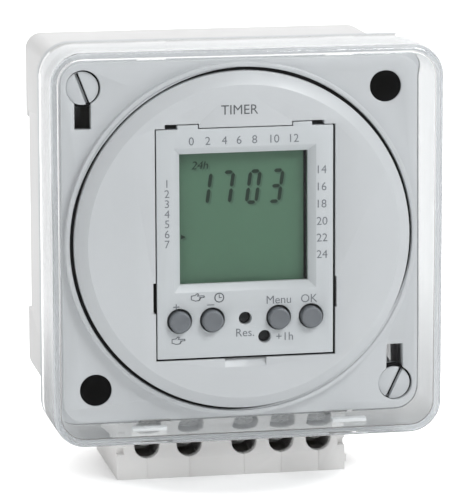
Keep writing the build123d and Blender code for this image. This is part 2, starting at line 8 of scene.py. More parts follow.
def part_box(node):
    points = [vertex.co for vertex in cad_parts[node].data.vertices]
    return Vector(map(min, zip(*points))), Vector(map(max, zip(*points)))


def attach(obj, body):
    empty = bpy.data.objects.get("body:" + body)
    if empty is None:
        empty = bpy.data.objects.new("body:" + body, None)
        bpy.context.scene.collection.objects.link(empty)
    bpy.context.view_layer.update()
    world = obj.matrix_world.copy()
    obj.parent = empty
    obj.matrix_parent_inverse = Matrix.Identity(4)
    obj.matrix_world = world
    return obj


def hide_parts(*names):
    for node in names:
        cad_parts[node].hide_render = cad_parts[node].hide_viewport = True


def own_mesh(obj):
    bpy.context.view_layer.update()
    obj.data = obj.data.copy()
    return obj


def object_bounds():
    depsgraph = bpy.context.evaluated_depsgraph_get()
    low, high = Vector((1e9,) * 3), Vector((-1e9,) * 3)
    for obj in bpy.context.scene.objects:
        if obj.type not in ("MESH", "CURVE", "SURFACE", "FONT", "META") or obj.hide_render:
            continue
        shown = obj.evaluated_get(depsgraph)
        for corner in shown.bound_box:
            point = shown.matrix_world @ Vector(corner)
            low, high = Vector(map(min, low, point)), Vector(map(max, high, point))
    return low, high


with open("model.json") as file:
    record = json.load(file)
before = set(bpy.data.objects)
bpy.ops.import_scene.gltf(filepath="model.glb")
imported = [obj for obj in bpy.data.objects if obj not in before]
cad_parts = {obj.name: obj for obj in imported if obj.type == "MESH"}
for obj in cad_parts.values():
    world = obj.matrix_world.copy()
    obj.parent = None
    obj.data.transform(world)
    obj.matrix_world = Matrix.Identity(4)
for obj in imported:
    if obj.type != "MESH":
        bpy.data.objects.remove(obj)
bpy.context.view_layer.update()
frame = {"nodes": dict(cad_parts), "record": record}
nodes = frame["nodes"]
bpy.context.scene.view_settings.view_transform = "Standard"
mm = 0.001


# Camera.

cameraView = {
    "turn": 10.989,        # degrees to the left of straight ahead
    "lift": 10.588,        # degrees above the horizon
    "roll": -0.108,
    "distance": 646.4,
    "target": (-1.98, -48.07, -1.775),
    "lens": 255.9,
    "clip": (0.01, 20),     # metres
}


def makeCamera():
    turn = math.radians(cameraView["turn"])
    lift = math.radians(cameraView["lift"])
    roll = math.radians(cameraView["roll"])
    ahead = Vector((math.sin(turn) * math.cos(lift), math.cos(turn) * math.cos(lift),
                    -math.sin(lift)))
    level = Vector((math.cos(turn), -math.sin(turn), 0))
    upright = level.cross(ahead)
    right = math.cos(roll) * level + math.sin(roll) * upright
    up = right.cross(ahead)
    data = bpy.data.cameras.new("viewCamera")
    data.lens = cameraView["lens"]
    data.clip_start, data.clip_end = cameraView["clip"]
    camera = bpy.data.objects.new("viewCamera", data)
    bpy.context.scene.collection.objects.link(camera)
    place = (Vector(cameraView["target"]) - ahead * cameraView["distance"]) * mm
    turned = Matrix((right, up, -ahead)).transposed().to_4x4()
    camera.matrix_world = Matrix.Translation(place) @ turned
    bpy.context.scene.camera = camera


makeCamera()


# Sizes read from the frame, in metres.

coverLow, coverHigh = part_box("clear_cover")
moduleLow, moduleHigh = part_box("module_bezel")
paneLow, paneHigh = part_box("lcd_window")
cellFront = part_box("lcd_glass")[0].y
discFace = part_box("dial_disc")[0].y
bodies = frame["record"]["behaviour"]["bodies"]


def slotOf(node):
    parts = frame["record"]["subparts"]
    return next(part["material_slot"] for part in parts if part["node"] == node)


def bodyOf(node):
    return next(body for body, members in bodies.items() if node in members)


# Materials.

noiseRange = (0.3, 0.7)     # where most values of a noise texture lie

# What all finishes of a kind share: scales per metre, depths in metres.
kinds = {
    "moulded": {"cloudScale": 45, "smearScale": 160, "smearStretch": (1, 0.4, 0.25),
                "smoother": 0.06, "rougher": 0.08, "grainScale": 5200, "grainDepth": 0.00004},
    "metal": {"cloudScale": 220, "dark": 0.86, "brushScale": 900, "brushStretch": (1, 12, 1),
              "smoother": 0.08, "rougher": 0.14, "brushStrength": 0.12, "brushDepth": 0.00003},
    "clear": {"hazeScale": 60, "haze": 0.002, "waveScale": 38, "waveStrength": 0.003,
              "waveDepth": 0.0002, "ior": 1.49},
    "speckled": {"rougher": 0.15, "grainStrength": 0.15, "grainDepth": 0.00005},
}


def shaderTree(name):
    material = bpy.data.materials.new(name)
    material.use_nodes = True
    tree = material.node_tree
    tree.nodes.clear()
    output = tree.nodes.new("ShaderNodeOutputMaterial")
    shader = tree.nodes.new("ShaderNodeBsdfPrincipled")
    tree.links.new(shader.outputs[0], output.inputs[0])
    coords = tree.nodes.new("ShaderNodeTexCoord")
    return material, tree, shader, coords.outputs["Object"]


# Sets or links a node's inputs, by name or number.
def feed(tree, node, inputs):
    for key, value in inputs.items():
        if isinstance(value, bpy.types.NodeSocket):
            tree.links.new(value, node.inputs[key])
        else:
            node.inputs[key].default_value = value


def addNode(tree, kind, inputs, **settings):
    node = tree.nodes.new(kind)
    for name, value in settings.items():
        setattr(node, name, value)
    feed(tree, node, inputs)
    return node


def noise(tree, vector, scale, detail, stretch=None):
    if stretch is not None:
        vector = addNode(tree, "ShaderNodeMapping", {"Vector": vector, "Scale": stretch}).outputs[0]
    inputs = {"Vector": vector, "Scale": scale, "Detail": detail}
    return addNode(tree, "ShaderNodeTexNoise", inputs).outputs[0]


def spread(tree, value, low, high, fromLow=noiseRange[0], fromHigh=noiseRange[1]):
    return addNode(tree, "ShaderNodeMapRange", {
        "Value": value, "From Min": fromLow, "From Max": fromHigh,
        "To Min": low, "To Max": high}).outputs[0]


def colourBetween(tree, value, dark, light):
    ramp = tree.nodes.new("ShaderNodeValToRGB")
    for element, place, colour in zip(ramp.color_ramp.elements, noiseRange, (dark, light)):
        element.position = place
        element.color = (*colour, 1)
    tree.links.new(value, ramp.inputs[0])
    return ramp.outputs[0]


def bump(tree, height, strength, distance):
    inputs = {"Height": height, "Strength": strength, "Distance": distance}
    return addNode(tree, "ShaderNodeBump", inputs).outputs[0]


def maths(tree, operation, first, second):
    return addNode(tree, "ShaderNodeMath", {0: first, 1: second}, operation=operation).outputs[0]


def mixed(tree, share, first, second):
    return addNode(tree, "ShaderNodeMixShader", {0: share, 1: first, 2: second}).outputs[0]


def showInstead(tree, surface):
    output = next(node for node in tree.nodes if node.type == "OUTPUT_MATERIAL")
    tree.links.new(surface, output.inputs[0])


# Screen values from 0 to 255 as linear light.
def linear(red, green, blue):
    channels = [c / 255 for c in (red, green, blue)]
    return tuple(c / 12.92 if c <= 0.04045 else ((c + 0.055) / 1.055) ** 2.4 for c in channels)


# Moulded plastic: slow cloudiness in the colour, a fine spark-eroded grain and flow marks.
def mouldedPlastic(name, colour, roughness=0.42, grain=0.12, cloud=0.025):
    kind = kinds["moulded"]
    material, tree, shader, coords = shaderTree(name)
    slow = noise(tree, coords, kind["cloudScale"], 2)
    light = tuple(min(1, c * (1 + cloud)) for c in colour)
    dark = tuple(c * (1 - cloud) for c in colour)
    smear = noise(tree, coords, kind["smearScale"], 3, kind["smearStretch"])
    fine = noise(tree, coords, kind["grainScale"], 2)
    feed(tree, shader, {
        "Base Color": colourBetween(tree, slow, dark, light),
        "Roughness": spread(tree, smear, roughness - kind["smoother"], roughness + kind["rougher"]),
        "IOR": 1.5,
        "Normal": bump(tree, fine, grain, kind["grainDepth"])})
    return material


# Metal: faint staining and a brushed grain.
def metal(name, colour, roughness):
    kind = kinds["metal"]
    material, tree, shader, coords = shaderTree(name)
    slow = noise(tree, coords, kind["cloudScale"], 3)
    dark = tuple(c * kind["dark"] for c in colour)
    brush = noise(tree, coords, kind["brushScale"], 4, kind["brushStretch"])
    feed(tree, shader, {
        "Base Color": colourBetween(tree, slow, dark, colour),
        "Roughness": spread(tree, brush, roughness - kind["smoother"], roughness + kind["rougher"]),
        "Metallic": 1.0,
        "Normal": bump(tree, brush, kind["brushStrength"], kind["brushDepth"])})
    return material


# Clear plastic lets the lamps through, so that what is behind it is lit as in the real thing. Rays
# that have bounced inside it twice leave it straight, or its walls would turn black.
def clearPlastic(name, tint):
    kind = kinds["clear"]
    material, tree, shader, coords = shaderTree(name)
    haze = noise(tree, coords, kind["hazeScale"], 3)
    wave = noise(tree, coords, kind["waveScale"], 1)
    feed(tree, shader, {
        "Base Color": (*tint, 1),
        "Transmission Weight": 1.0,
        "Roughness": spread(tree, haze, 0, kind["haze"]),
        "IOR": kind["ior"],
        "Normal": bump(tree, wave, kind["waveStrength"], kind["waveDepth"])})
    rays = tree.nodes.new("ShaderNodeLightPath")
    halfTint = (*[0.5 + 0.5 * c for c in tint], 1)
    passing = addNode(tree, "ShaderNodeBsdfTransparent", {0: halfTint})
    bounced = maths(tree, "GREATER_THAN", rays.outputs["Glossy Depth"], 1.5)
    lit = maths(tree, "MAXIMUM", rays.outputs["Is Shadow Ray"], rays.outputs["Is Diffuse Ray"])
    either = maths(tree, "MAXIMUM", lit, bounced)
    showInstead(tree, mixed(tree, either, shader.outputs[0], passing.outputs[0]))
    return material


def speckled(name, colour, speck, scale, roughness):
    kind = kinds["speckled"]
    material, tree, shader, coords = shaderTree(name)
    weave = noise(tree, coords, scale, 4)
    feed(tree, shader, {
        "Base Color": colourBetween(tree, weave, colour, speck),
        "Roughness": spread(tree, weave, roughness, roughness + kind["rougher"]),
        "Normal": bump(tree, weave, kind["grainStrength"], kind["grainDepth"])})
    return material


finishes = {
    "clear_cover": clearPlastic("clearCover", (0.978, 0.984, 0.984)),
    "window_clear": clearPlastic("windowPane", (0.93, 0.97, 0.95)),
    "frame_grey": mouldedPlastic("framePlastic", linear(190, 193, 196)),
    "housing_grey": mouldedPlastic("housingPlastic", linear(215, 215, 215), 0.48, 0.18),
    "terminal_grey": mouldedPlastic("terminalPlastic", linear(234, 233, 232), 0.46, 0.16),
    "disc_grey": mouldedPlastic("discPlastic", linear(192, 195, 198), 0.4, 0.1),
    "module_grey": mouldedPlastic("modulePlastic", linear(191, 195, 198), 0.38, 0.1),
    "clamp_grey": mouldedPlastic("clampPlastic", linear(190, 193, 196), 0.36, 0.08),
    "latch_grey": mouldedPlastic("latchPlastic", linear(190, 192, 194), 0.4, 0.1),
    "button_grey": mouldedPlastic("buttonPlastic", linear(108, 112, 117), 0.5, 0.2, 0.04),
    "pin_dark": mouldedPlastic("pinPlastic", linear(26, 29, 31), 0.55, 0.2, 0.06),
    "display_cell": mouldedPlastic("displayCell", linear(88, 119, 99), 0.35, 0.05),
    "holder_white": mouldedPlastic("holderPlastic", linear(235, 235, 230), 0.4, 0.08),
    "chip_black": speckled("chipResin", (0.018, 0.018, 0.02), (0.03, 0.03, 0.032), 1800, 0.45),
    "header_black": mouldedPlastic("headerPlastic", (0.015, 0.015, 0.016), 0.4, 0.1, 0.1),
    "relay_case": mouldedPlastic("relayPlastic", linear(40, 74, 130), 0.22, 0.05, 0.05),
    "capacitor_box": mouldedPlastic("capacitorBox", linear(212, 178, 60), 0.3, 0.08, 0.04),
    "capacitor_sleeve": mouldedPlastic("capacitorSleeve", linear(36, 40, 60), 0.18, 0.04, 0.08),
    "varistor_blue": speckled("varistorEpoxy", linear(40, 84, 140), linear(58, 104, 160), 700,
                              0.25),
    "strip_rubber": speckled("stripRubber", (0.02, 0.02, 0.02), (0.12, 0.12, 0.12), 2600, 0.6),
    "circuit_board": speckled("boardLacquer", linear(18, 92, 48), linear(34, 120, 66), 900, 0.2),
    "spring_steel": metal("springSteel", (0.72, 0.71, 0.69), 0.22),
    "bright_can": metal("brightCan", (0.76, 0.76, 0.74), 0.2),
    "cell_steel": metal("cellSteel", (0.74, 0.74, 0.73), 0.24),
    "contact_brass": metal("contactBrass", (0.78, 0.62, 0.34), 0.28),
    "plated_screw": metal("platedScrew", (0.66, 0.66, 0.65), 0.28),
    "plated_cage": metal("platedCage", (0.62, 0.62, 0.6), 0.34),
}
print("materials made:", len(finishes))


# Mesh helpers.

def objectFrom(name, builder):
    mesh = bpy.data.meshes.new(name)
    builder.to_mesh(mesh)
    builder.free()
    made = bpy.data.objects.new(name, mesh)
    bpy.context.scene.collection.objects.link(made)
    return made


def bakedModifiers(made):
    bpy.context.view_layer.update()
    shown = made.evaluated_get(bpy.context.evaluated_depsgraph_get())
    mesh = bpy.data.meshes.new_from_object(shown)
    made.modifiers.clear()
    made.data = mesh
    return made


def smoothByAngle(made, angle=40):
    for face in made.data.polygons:
        face.use_smooth = True
    made.data.set_sharp_from_angle(angle=math.radians(angle))
    return made


# The holes round the clamp heads, a little wide towards the upper right.
clampHole = {
    "radius": 3.1,
    "radiusWithin": 0.06,
    "wider": 0.12,
    "offset": 0.14,
    "towards": 30,          # degrees above the right
    "headRadius": 3.05,
    "headEdge": 0.05,       # depth in which the rim of a head's face lies
    "headSunk": 0.3,        # below the plate
    # Painted shade: a black ring in the gap round each head, and a black bar in its slot.
    "ringRadii": (3.03, 3.5),
    "ringDepths": (0.75, 1.6),      # below the plate and below the head
    "ringSteps": 96,
    "slotDeep": 0.3,        # the slot's floor is deeper than this
    "slotWithin": 0.02,
    "slotReach": 0.06,      # share of its length by which the mark passes each end
    "slotShadeBar": (0.3, 0.3, 0.04),   # width, shift to the right, thickness
}


def clampCentres():
    centres = {}
    for node in ("panel_clamp_upper", "panel_clamp_lower"):
        vertices = [vertex.co for vertex in nodes[node].data.vertices]
        front = min(co.y for co in vertices)
        head = [co for co in vertices if co.y < front + clampHole["headEdge"] * mm]
        xs, zs = [co.x for co in head], [co.z for co in head]
        centres[node] = ((min(xs) + max(xs)) / 2, (min(zs) + max(zs)) / 2, front)
    return centres


def widenClampHoles(builder):
    towards = math.radians(clampHole["towards"])
    for x, z, front in clampCentres().values():
        for vertex in builder.verts:
            across, upwards = vertex.co.x - x, vertex.co.z - z
            radius = math.hypot(across, upwards)
            if abs(radius / mm - clampHole["radius"]) < clampHole["radiusWithin"]:
                extra = clampHole["wider"] + clampHole["offset"] * math.cos(
                    math.atan2(upwards, across) - towards)
                grow = 1 + extra * mm / radius
                vertex.co.x, vertex.co.z = x + across * grow, z + upwards * grow


rounding = {
    "segments": 2,
    "above": 30,            # edges that turn by more degrees than this are rounded
    "miter": "MITER_ARC",
    "merge": 0.002,
    "flat": 0.5,            # degrees within which faces count as one
    "wallWithin": 0.03,
}


# A merged copy of a CAD node with its edges rounded, to stand for that node. A move shifts the
# wall that lies at a place along an axis.
def roundedCopy(node, width, moves):
    builder = bmesh.new()
    builder.from_mesh(nodes[node].data)
    bmesh.ops.remove_doubles(builder, verts=builder.verts, dist=rounding["merge"] * mm)
    for axis, place, shift in moves:
        for vertex in builder.verts:
            if abs(vertex.co[axis] - place) < rounding["wallWithin"] * mm:
                vertex.co[axis] += shift
    if node == "front_frame":
        widenClampHoles(builder)
    bmesh.ops.dissolve_limit(builder, angle_limit=math.radians(rounding["flat"]),
                             verts=builder.verts, edges=builder.edges)
    made = objectFrom(node + "_piece", builder)
    bevel = made.modifiers.new("edges", "BEVEL")
    bevel.width = width * mm
    bevel.segments = rounding["segments"]
    bevel.limit_method = "ANGLE"
    bevel.angle_limit = math.radians(rounding["above"])
    bevel.miter_outer = rounding["miter"]
    bakedModifiers(made)
    return smoothByAngle(made)


def wear(made, material):
    made.data.materials.clear()
    made.data.materials.append(material)


def detailOn(made, node, material):
    wear(made, material)
    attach(made, bodyOf(node))


# The piece rides on the node's body, takes the node's slot and finish, and stands for it.
def standsFor(made, node):
    slotName = slotOf(node)
    detailOn(made, node, finishes[slotName])
    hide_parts(node)


def bevelled(made, width):
    bevel = made.modifiers.new("edges", "BEVEL")
    bevel.width = width * mm
    bevel.segments = rounding["segments"]
    return smoothByAngle(bakedModifiers(made))


# Rounded outlines.

def roundedSquare(half, corner, steps):
    points = []
    for quarter in range(4):
        centreAngle = math.radians(45 + 90 * quarter)
        cx = math.copysign(half - corner, math.cos(centreAngle))
        cz = math.copysign(half - corner, math.sin(centreAngle))
        for step in range(steps + 1):
            angle = math.radians(90 * quarter + 90 * step / steps)
            points.append((cx + corner * math.cos(angle), cz + corner * math.sin(angle)))
    return points


# Faces between two closed rows of as many points.
def bridge(builder, row, following):
    count = len(row)
    for index in range(count):
        after = (index + 1) % count
        builder.faces.new((row[index], row[after], following[after], following[index]))


def loft(builder, rings):
    rows = []
    for points, depth in rings:
        rows.append([builder.verts.new((x, depth, z)) for x, z in points])
    for row, following in zip(rows, rows[1:]):
        bridge(builder, row, following)
    return rows


# Clear cover.

coverPiece = {
    "wall": 1.3,
    "corner": 6.0,
    "rim": 40.6,            # height of its rim above the rear plane
    "edgeRound": 1.3,
    "innerRound": 0.5,
    "cornerSteps": 16,
    "edgeSteps": 6,
    "innerSteps": 3,
    "draft": 0.12,
    "tongueX": (-15.5, 19.5),
    "tongueSize": (5.5, 0.9, 3.0),
    "tongueInset": 1.1,
    "tongueLap": 0.1,       # into the rim
}


# Rings of points for the shell, from the rim inwards, one for each step round the front edge.
def shellRings(half, corner, face, edgeRound, roundSteps):
    steps = coverPiece["cornerSteps"]
    rim = -coverPiece["rim"] * mm
    draft = coverPiece["draft"] * mm
    rings = [(roundedSquare(half, corner, steps), rim)]
    for step in range(roundSteps + 1):
        angle = math.radians(90 * step / roundSteps)
        inset = draft + edgeRound * (1 - math.cos(angle))
        depth = face + edgeRound * (1 - math.sin(angle))
        rings.append((roundedSquare(half - inset, corner - inset, steps), depth))
    return rings


def addBox(builder, low, high):
    made = bmesh.ops.create_cube(builder, size=1.0)
    size = [high[i] - low[i] for i in range(3)]
    centre = [(high[i] + low[i]) / 2 for i in range(3)]
    for vertex in made["verts"]:
        vertex.co = Vector([centre[i] + vertex.co[i] * size[i] for i in range(3)])


def makeTongues():
    builder = bmesh.new()
    width, thickness, length = [size * mm for size in coverPiece["tongueSize"]]
    front = -(coverPiece["rim"] + coverPiece["tongueLap"]) * mm
    middle = coverHigh.x - coverPiece["tongueInset"] * mm
    for x in coverPiece["tongueX"]:
        for z in (-middle, middle):
            addBox(builder, (x * mm - width / 2, front, z - thickness / 2),
                   (x * mm + width / 2, front + length, z + thickness / 2))
    return objectFrom("coverTongues", builder)


def makeCover():
    half = coverHigh.x
    wall = coverPiece["wall"] * mm
    corner = coverPiece["corner"] * mm
    front = coverLow.y
    builder = bmesh.new()
    outside = loft(builder, shellRings(half, corner, front, coverPiece["edgeRound"] * mm,
                                       coverPiece["edgeSteps"]))
    inside = loft(builder, shellRings(half - wall, corner - wall, front + wall,
                                      coverPiece["innerRound"] * mm, coverPiece["innerSteps"]))
    builder.faces.new(outside[-1])
    builder.faces.new(inside[-1])
    bridge(builder, outside[0], inside[0])
    bmesh.ops.recalc_face_normals(builder, faces=builder.faces)
    cover = objectFrom("clearCoverShell", builder)
    tongues = makeTongues()
    joined = cover.modifiers.new("tongues", "BOOLEAN")
    joined.operation = "UNION"
    joined.object = tongues
    joined.solver = "EXACT"
    bakedModifiers(cover)
    bpy.data.objects.remove(tongues)
    standsFor(smoothByAngle(cover, 45), "clear_cover")


makeCover()
print("cover made")


# Plain casings: rounded copies of what the frame holds.

edgeRounds = {
    "front_frame": 0.18,
    "rear_housing": 0.2,
    "terminal_housing": 0.12,
    "dial_disc": 0.16,
    "module_bezel": 0.12,
    "din_latch": 0.15,
    "panel_clamp_upper": 0.12,
    "panel_clamp_lower": 0.12,
}


# The module's opening in the disc is a little wider than the module, most of all right and below.
moduleGap = {
    "fit": 0.2,             # clearance round the module in the frame
    "left": 0.05,
    "right": 0.25,
    "below": 0.2,
    "gapShadeDepth": 0.45,     # top of the painted shade below the disc's face
    "gapShadeBack": 3.2,
    "gapShadeInset": 0.02,
}


def openingMoves():
    fit = moduleGap["fit"] * mm
    return ((0, moduleHigh.x + fit, moduleGap["right"] * mm),
            (0, moduleLow.x - fit, -moduleGap["left"] * mm),
            (2, moduleLow.z - fit, -moduleGap["below"] * mm))


for node, width in edgeRounds.items():
    moves = openingMoves() if node == "dial_disc" else ()
    standsFor(roundedCopy(node, width, moves), node)
    print("casing made:", node)


# Turned pieces: button caps, recessed pins, sleeves and seals.

# Spins a profile of (radius, height above the rear plane) round an axis along Y.
def turned(builder, profile, x, z, steps=48):
    rows = []
    for radius, height in profile:
        if radius == 0:
            rows.append([builder.verts.new((x, -height * mm, z))])
            continue
        row = []
        for step in range(steps):
            angle = 2 * math.pi * step / steps
            row.append(builder.verts.new((x + radius * mm * math.cos(angle), -height * mm,
                                          z + radius * mm * math.sin(angle))))
        rows.append(row)
    for row, following in zip(rows, rows[1:]):
        if len(row) == len(following):
            bridge(builder, row, following)
            continue
        for step in range(steps):
            after = (step + 1) % steps
            if len(row) == 1:
                builder.faces.new((row[0], following[after], following[step]))
            else:
                builder.faces.new((row[step], row[after], following[0]))


capPiece = {
    "radius": 1.93,
    "drop": 0.1,
    "edge": 0.35,
    "dish": 0.16,           # how far the middle of the cap is hollowed
    "flange": 2.6,
}
pinPiece = {
    "radius": 1.0,
    "drop": 0.0,
    "edge": 0.15,
    "dish": 0.1,
    "flange": 1.5,
}
keyShape = {
    "dishRings": (0.3, 0.6, 0.85, 1.0),
    "edgeFrom": 80,         # degrees
    "edgeSteps": 5,
    "flangeTop": 48.0,
    "flangeFoot": 47.2,
    "stem": 1.1,
    "stemEnd": 44.2,
}


def makeCap(node, sizes):
    low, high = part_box(node)
    centre = (low + high) / 2
    top = -low.y / mm
    radius, edge, flange = sizes["radius"], sizes["edge"], sizes["flange"]
    profile = [(0, top - sizes["dish"])]
    for share in keyShape["dishRings"]:
        profile.append(((radius - edge) * share, top - sizes["dish"] * (1 - share ** 2)))
    for step in range(keyShape["edgeSteps"] + 1):
        angle = math.radians(keyShape["edgeFrom"] * (1 - step / keyShape["edgeSteps"]))
        profile.append((radius - edge * (1 - math.cos(angle)),
                        top - edge * (1 - math.sin(angle))))
    upper, lower, stem = keyShape["flangeTop"], keyShape["flangeFoot"], keyShape["stem"]
    profile += [(radius, upper), (flange, upper), (flange, lower), (stem, lower),
                (stem, keyShape["stemEnd"]), (0, keyShape["stemEnd"])]
    builder = bmesh.new()
    turned(builder, profile, centre.x, centre.z - sizes["drop"] * mm)
    bmesh.ops.recalc_face_normals(builder, faces=builder.faces)
    standsFor(smoothByAngle(objectFrom(node + "_piece", builder)), node)


for name in ("plus", "minus", "menu", "ok"):
    makeCap("button_" + name, capPiece)
for name in ("reset", "hour"):
    makeCap("button_" + name, pinPiece)
print("caps made")

# Painted shade: black rings deep in the gap round the disc and in the two wall-screw holes.
darkRings = {
    "discGapShade": {"radii": (31.2, 31.8), "heights": (45.3, 46.9), "centres": [(0, 0)]},
    "wallScrewHoleShade": {"radii": (2.84, 2.95), "heights": (3.2, 45.8),
                         "centres": [(27.2, 27.2), (-27.2, -27.2)]},
}
ringShape = {"chamfer": (0.06, 0.1), "steps": 128, "merge": 0.0005}


# Pale lips beside the painted shade ring in the gap round the disc, which run out at both ends:
# one below on the right, nearly as wide as the gap, and a narrower one at the upper left.
sealLips = {
    "outer": 31.8,
    "heights": (45.3, 47.45),
    "steps": 60,
    "runOut": 0.35,         # share of the length over which the lip widens
    "least": 0.04,          # share of its width at the ends
    "arcs": ({"from": -97, "to": -8, "width": 0.57}, {"from": 92, "to": 166, "width": 0.34}),
}


# A closed bar along an arc round the axis, thin at both ends.
def addLip(builder, arc):
    rows = []
    outer, steps = sealLips["outer"], sealLips["steps"]
    back, front = sealLips["heights"]
    for step in range(steps + 1):
        share = step / steps
        angle = math.radians(arc["from"] + (arc["to"] - arc["from"]) * share)
        full = min(share, 1 - share) / sealLips["runOut"]
        width = arc["width"] * min(1, max(sealLips["least"], full))
        row = []
        for radius, height in ((outer - width, back), (outer - width, front),
                               (outer, front), (outer, back)):
            row.append(builder.verts.new((radius * mm * math.cos(angle), -height * mm,
                                          radius * mm * math.sin(angle))))
        rows.append(row)
    for row, following in zip(rows, rows[1:]):
        bridge(builder, row, following)
    builder.faces.new(rows[0])
    builder.faces.new(rows[-1])
    bmesh.ops.recalc_face_normals(builder, faces=builder.faces)


def makeSealLips():
    builder = bmesh.new()
    for arc in sealLips["arcs"]:
        addLip(builder, arc)
    lips = smoothByAngle(objectFrom("sealLips", builder))
    detailOn(lips, "front_frame", finishes["frame_grey"])


def makeDarkRings():
    across, down = ringShape["chamfer"]
    for name, ring in darkRings.items():
        inner, outer = ring["radii"]
        back, front = ring["heights"]
        builder = bmesh.new()
        for x, z in ring["centres"]:
            profile = [(inner, back), (inner, front - down), (inner + across, front),
                       (outer - across, front), (outer, front - down), (outer, back),
                       (inner, back)]
            turned(builder, profile, x * mm, z * mm, ringShape["steps"])
        bmesh.ops.remove_doubles(builder, verts=builder.verts, dist=ringShape["merge"] * mm)
        bmesh.ops.recalc_face_normals(builder, faces=builder.faces)
        piece = smoothByAngle(objectFrom(name, builder))
        detailOn(piece, "front_frame", paintedShadeBlack)


# Painted shade: black blocks in the gap between the module and the disc.
def makeGapLiner():
    fit = moduleGap["fit"] * mm
    inset = moduleGap["gapShadeInset"] * mm
    left = moduleLow.x - fit - moduleGap["left"] * mm
    right = moduleHigh.x + fit + moduleGap["right"] * mm
    low = moduleLow.z - fit - moduleGap["below"] * mm
    high = -moduleLow.z
    front = discFace + moduleGap["gapShadeDepth"] * mm
    back = discFace + moduleGap["gapShadeBack"] * mm
    builder = bmesh.new()
    for lowX, highX, lowZ, highZ in ((left + inset, moduleLow.x - inset, low + inset, high),
                                     (moduleHigh.x + inset, right - inset, low + inset, high),
                                     (moduleLow.x - inset, moduleHigh.x + inset, low + inset,
                                      moduleLow.z - inset)):
        addBox(builder, (lowX, front, lowZ), (highX, back, highZ))
    detailOn(objectFrom("moduleGapShade", builder), "front_frame", paintedShadeBlack)


# Painted shade: black rings in the gaps round the clamp heads and bars in their screwdriver slots.
def makeClampShade():
    inner, outer = clampHole["ringRadii"]
    near, far = clampHole["ringDepths"]
    width, shift, thickness = clampHole["slotShadeBar"]
    rings = bmesh.new()
    for node, (x, z, front) in clampCentres().items():
        back = -front / mm - far
        top = -front / mm + clampHole["headSunk"] - near
        profile = [(inner, back), (inner, top), (outer, top), (outer, back), (inner, back)]
        turned(rings, profile, x, z, clampHole["ringSteps"])
        marks = bmesh.new()
        start, end, depth = slotLine(node, x, z, shift)
        addStroke(marks, (start, end), width, depth * mm, thickness)
        finishPrint(marks, node + "_slotShade", node, paintedShadeBlack)
    bmesh.ops.remove_doubles(rings, verts=rings.verts, dist=ringShape["merge"] * mm)
    bmesh.ops.recalc_face_normals(rings, faces=rings.faces)
    detailOn(objectFrom("clampGapShades", rings), "front_frame", paintedShadeBlack)


# The ends of the screwdriver slot's floor, moved to its right, and the depth of that floor.
def slotLine(node, x, z, shift):
    middle = Vector((x, z))
    heads = [vertex.co for vertex in nodes[node].data.vertices
             if (Vector((vertex.co.x, vertex.co.z)) - middle).length < clampHole["headRadius"] * mm]
    front = min(co.y for co in heads)
    levels = sorted({round(co.y / mm, 2) for co in heads})
    depth = next(level for level in levels if level > front / mm + clampHole["slotDeep"])
    ends = [co for co in heads if abs(co.y / mm - depth) < clampHole["slotWithin"]]
    top = flatMiddle([co for co in ends if co.z > z])
    low = flatMiddle([co for co in ends if co.z < z])
    reach = (top - low) * clampHole["slotReach"]
    return ((top.x + shift - reach.x, top.y - reach.y), (low.x + shift + reach.x, low.y + reach.y),
            depth)


def flatMiddle(places):
    return sum((Vector((co.x, co.z)) for co in places), Vector((0, 0))) / len(places) / mm


# Small light parts: pads inside the cover's lower wall, near its tongues, whose pale colour is a
# painted highlight for the bright lines of the clear tongues, and the webs that nearly fill the
# parting grooves below the wire openings.
coverTongueHighlights = {
    "x": (-17.6, 19.7),
    "width": 6.4,
    "z": (-34.72, -34.0),
    "heights": (47.5, 49.2),
    "edge": 0.15,
}
grooveWebs = {
    "width": 0.16,
    "sunk": 0.06,
    "deep": 0.3,
    "belowScrew": 3.4,
    "aboveFoot": 0.02,
}


def makeCoverPads():
    low, high = coverTongueHighlights["z"]
    back, front = coverTongueHighlights["heights"]
    half = coverTongueHighlights["width"] / 2
    builder = bmesh.new()
    for x in coverTongueHighlights["x"]:
        addBox(builder, ((x - half) * mm, -front * mm, low * mm),
               ((x + half) * mm, -back * mm, high * mm))
    pads = bevelled(objectFrom("coverTongueHighlights", builder), coverTongueHighlights["edge"])
    detailOn(pads, "clear_cover", paintedHighlightPale)


def makeGrooveWebs():
    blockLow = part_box("terminal_housing")[0]
    builder = bmesh.new()
    half = grooveWebs["width"] * mm / 2
    for number in range(1, 6):
        screwLow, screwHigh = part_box("terminal_screw_" + str(number))
        middle = (screwLow + screwHigh) / 2
        addBox(builder, (middle.x - half, blockLow.y + grooveWebs["sunk"] * mm,
                         blockLow.z + grooveWebs["aboveFoot"] * mm),
               (middle.x + half, blockLow.y + grooveWebs["deep"] * mm,
                middle.z - grooveWebs["belowScrew"] * mm))
    detailOn(objectFrom("grooveWebs", builder), "terminal_housing", finishes["terminal_grey"])


# Painted highlight: the pads' pale colour stands for the bright lines the clear tongues show.
paintedHighlightPale = mouldedPlastic("tongueHighlightPlastic", linear(216, 219, 221), 0.3, 0.05)
paintedShadeBlack = mouldedPlastic("paintedShadeBlack", (0.004, 0.004, 0.005), 0.85, 0.1, 0.1)
# Painted shade: flat black with hardly any sheen, for gaps, holes and slots that are only shade.
paintedShadeBlack.node_tree.nodes["Principled BSDF"].inputs["IOR"].default_value = 1.04
makeDarkRings()
makeSealLips()
makeGapLiner()
makeCoverPads()
makeGrooveWebs()


# Printed legends and display figures, and painted shade on the display and the clamp heads.

ink = mouldedPlastic("legendInk", linear(112, 116, 122), 0.55, 0.1, 0.03)
markInk = mouldedPlastic("markInk", linear(84, 87, 90), 0.55, 0.1, 0.03)
segmentInk = mouldedPlastic("segmentInk", linear(24, 42, 33), 0.5, 0.05, 0.04)
segmentShade = mouldedPlastic("segmentShade", linear(74, 101, 84), 0.4, 0.05, 0.04)

